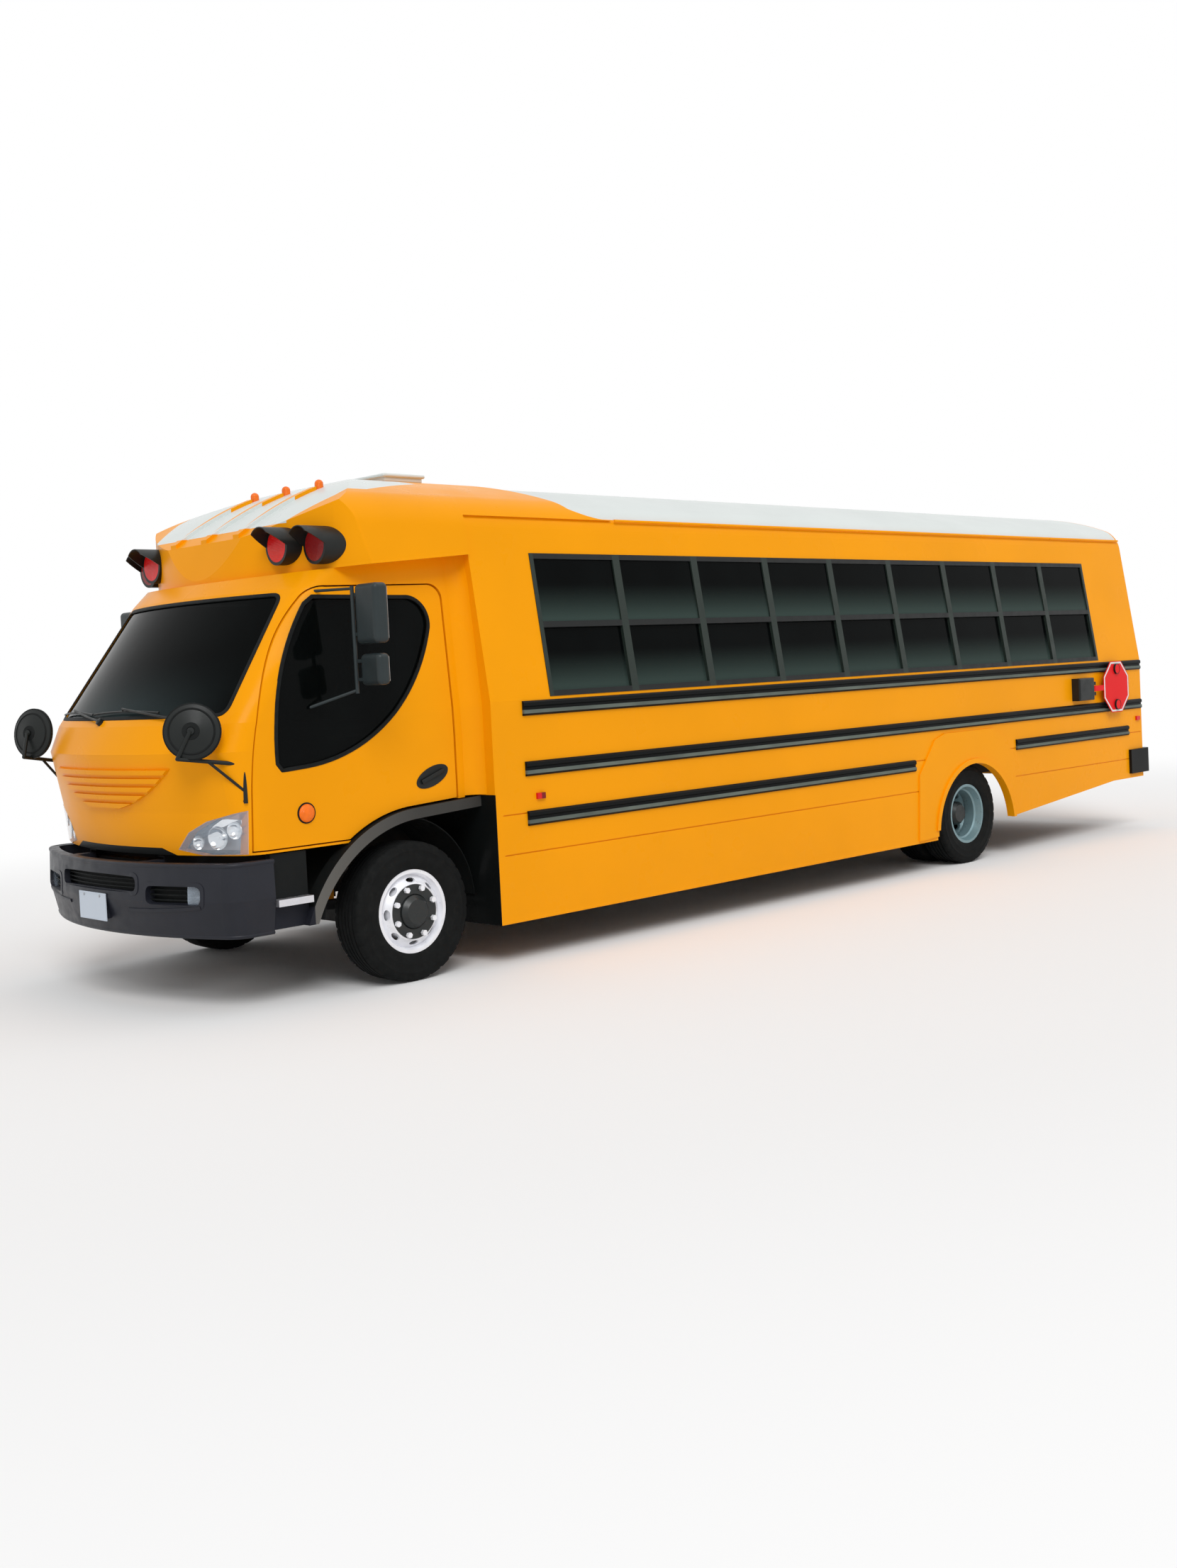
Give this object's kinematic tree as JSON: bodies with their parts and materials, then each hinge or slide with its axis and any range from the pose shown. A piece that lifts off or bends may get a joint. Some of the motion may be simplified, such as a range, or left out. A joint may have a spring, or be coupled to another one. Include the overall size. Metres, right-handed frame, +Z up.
{
  "type": "school bus",
  "caption": "Cab-over school bus with a flat-nosed truck cab, split-sash side windows, roof cap over the cab, opening doors, swing-out stop arm, steered front wheels and twin rear wheels.",
  "frame": {"origin": "on the ground, midway along the bus and on its centre line", "axes": "+Y to the rear of the bus, +X to its own left, +Z up"},
  "size_m": [2.81, 10.02, 2.9639],
  "materials": {
    "yellow_paint": "gloss",
    "roof_white": "gloss",
    "black_paint": "semi-gloss",
    "black_plastic": "fine grain",
    "bumper_grey": "fine grain",
    "tinted_glass": "polished",
    "clear_lens": "polished",
    "red_lens": "polished",
    "amber_lens": "polished",
    "tyre_rubber": "matt",
    "rim_silver": "satin",
    "rim_blue_grey": "satin",
    "frame_black": "satin",
    "cast_black": "rough",
    "spring_steel": "dull",
    "motor_grey": "cast",
    "battery_grey": "satin",
    "step_silver": "brushed",
    "plate_white": "satin",
    "sign_red": "semi-gloss",
    "floor_grey": "ribbed",
    "seat_vinyl": "grained",
    "cab_seat_cloth": "woven",
    "dash_grey": "fine grain"
  },
  "bodies": {
    "chassis": {"front_axle": "cast_black", "rear_axle": "cast_black", "leaf_springs": "spring_steel", "chassis_frame": "frame_black", "drive_motor": "motor_grey", "battery_packs": "battery_grey", "cab_shell": "yellow_paint", "louvre_panel": "yellow_paint", "roof_cap": "yellow_paint", "body_front": "yellow_paint", "body_side_left": "yellow_paint", "body_side_right": "yellow_paint", "rear_wall": "yellow_paint", "windscreen": "tinted_glass", "side_glass": "tinted_glass", "front_lamps": "clear_lens", "front_bumper": "bumper_grey", "licence_plate": "plate_white", "arch_flares": "black_plastic", "crossview_mirrors": "black_plastic", "stop_motor": "black_plastic", "cab_steps": "step_silver", "dashboard": "dash_grey", "cab_seats": "cab_seat_cloth", "roof_panel": "roof_white", "window_frames": "black_paint", "rub_rails": "black_paint", "wheel_panels": "black_paint", "rear_bumper": "black_paint", "lamp_hoods": "black_paint", "entry_portal": "black_paint", "body_floor": "floor_grey", "passenger_seats": "seat_vinyl", "red_lamps": "red_lens", "marker_lamps": "amber_lens"},
    "knuckle_left": {"knuckle_left": "cast_black"},
    "knuckle_right": {"knuckle_right": "cast_black"},
    "tie_rod": {"tie_rod": "spring_steel"},
    "wheel_front_left": {"tyre_front_left": "tyre_rubber", "rim_front_left": "rim_silver"},
    "wheel_front_right": {"tyre_front_right": "tyre_rubber", "rim_front_right": "rim_silver"},
    "wheels_rear_left": {"tyres_rear_left": "tyre_rubber", "rims_rear_left": "rim_blue_grey"},
    "wheels_rear_right": {"tyres_rear_right": "tyre_rubber", "rims_rear_right": "rim_blue_grey"},
    "cab_door_left": {"cab_door_left": "yellow_paint", "door_glass_left": "tinted_glass", "side_mirror_left": "black_plastic"},
    "cab_door_right": {"cab_door_right": "yellow_paint", "door_glass_right": "tinted_glass", "side_mirror_right": "black_plastic"},
    "entry_leaf_front": {"entry_leaf_front": "black_paint", "entry_glass_front": "tinted_glass"},
    "entry_leaf_rear": {"entry_leaf_rear": "black_paint", "entry_glass_rear": "tinted_glass"},
    "emergency_door": {"emergency_door": "yellow_paint", "emergency_glass": "tinted_glass"},
    "stop_arm": {"stop_arm": "sign_red"},
    "steering_wheel": {"steering_wheel": "black_plastic"}
  },
  "joints": [
    {"name": "steer_left", "type": "hinge", "parent": "chassis", "child": "knuckle_left", "pos_m": [0.8, -3.62, 0.3985], "axis": [0, 0, 1], "range_deg": [-40, 40]},
    {"name": "steer_right", "type": "hinge", "parent": "chassis", "child": "knuckle_right", "pos_m": [-0.8, -3.62, 0.3985], "axis": [0, 0, 1], "range_deg": [-40, 40]},
    {"name": "tie_rod_pin", "type": "hinge", "parent": "knuckle_left", "child": "tie_rod", "pos_m": [0.8, -3.42, 0.2985], "axis": [0, 0, 1], "range_deg": [-40, 40]},
    {"name": "steering_wheel_turn", "type": "hinge", "parent": "chassis", "child": "steering_wheel", "pos_m": [0.45, -4.21, 1.64], "axis": [0, 0.4695, 0.8829], "range_deg": [-540, 540]},
    {"name": "wheel_front_left_spin", "type": "hinge", "parent": "knuckle_left", "child": "wheel_front_left", "pos_m": [0.9825, -3.62, 0.3985], "axis": [1, 0, 0], "continuous": true},
    {"name": "wheel_front_right_spin", "type": "hinge", "parent": "knuckle_right", "child": "wheel_front_right", "pos_m": [-0.9825, -3.62, 0.3985], "axis": [1, 0, 0], "continuous": true},
    {"name": "wheels_rear_left_spin", "type": "hinge", "parent": "chassis", "child": "wheels_rear_left", "pos_m": [1.0375, 1.98, 0.3985], "axis": [1, 0, 0], "continuous": true},
    {"name": "wheels_rear_right_spin", "type": "hinge", "parent": "chassis", "child": "wheels_rear_right", "pos_m": [-1.0375, 1.98, 0.3985], "axis": [1, 0, 0], "continuous": true},
    {"name": "cab_door_left_hinge", "type": "hinge", "parent": "chassis", "child": "cab_door_left", "pos_m": [1.058, -4.612, 1.4], "axis": [0, 0, -1], "range_deg": [0, 75]},
    {"name": "cab_door_right_hinge", "type": "hinge", "parent": "chassis", "child": "cab_door_right", "pos_m": [-1.058, -4.612, 1.4], "axis": [0, 0, 1], "range_deg": [0, 75]},
    {"name": "entry_leaf_front_hinge", "type": "hinge", "parent": "chassis", "child": "entry_leaf_front", "pos_m": [-1.216, -2.926, 1.3], "axis": [0, 0, 1], "range_deg": [0, 85]},
    {"name": "entry_leaf_rear_hinge", "type": "hinge", "parent": "chassis", "child": "entry_leaf_rear", "pos_m": [-1.216, -2.014, 1.3], "axis": [0, 0, 1], "range_deg": [-85, 0]},
    {"name": "emergency_door_hinge", "type": "hinge", "parent": "chassis", "child": "emergency_door", "pos_m": [-0.458, 4.876, 1.6], "axis": [0, 0, 1], "range_deg": [0, 100]},
    {"name": "stop_arm_hinge", "type": "hinge", "parent": "chassis", "child": "stop_arm", "pos_m": [1.262, 3.892, 1.322], "axis": [0, 0, -1], "range_deg": [0, 90]}
  ],
  "couplings": [
    {"joint": "steer_right", "follows": "steer_left", "ratio": 1},
    {"joint": "tie_rod_pin", "follows": "steer_left", "ratio": -1},
    {"joint": "steering_wheel_turn", "follows": "steer_left", "ratio": 13.5},
    {"joint": "entry_leaf_rear_hinge", "follows": "entry_leaf_front_hinge", "ratio": -1}
  ]
}
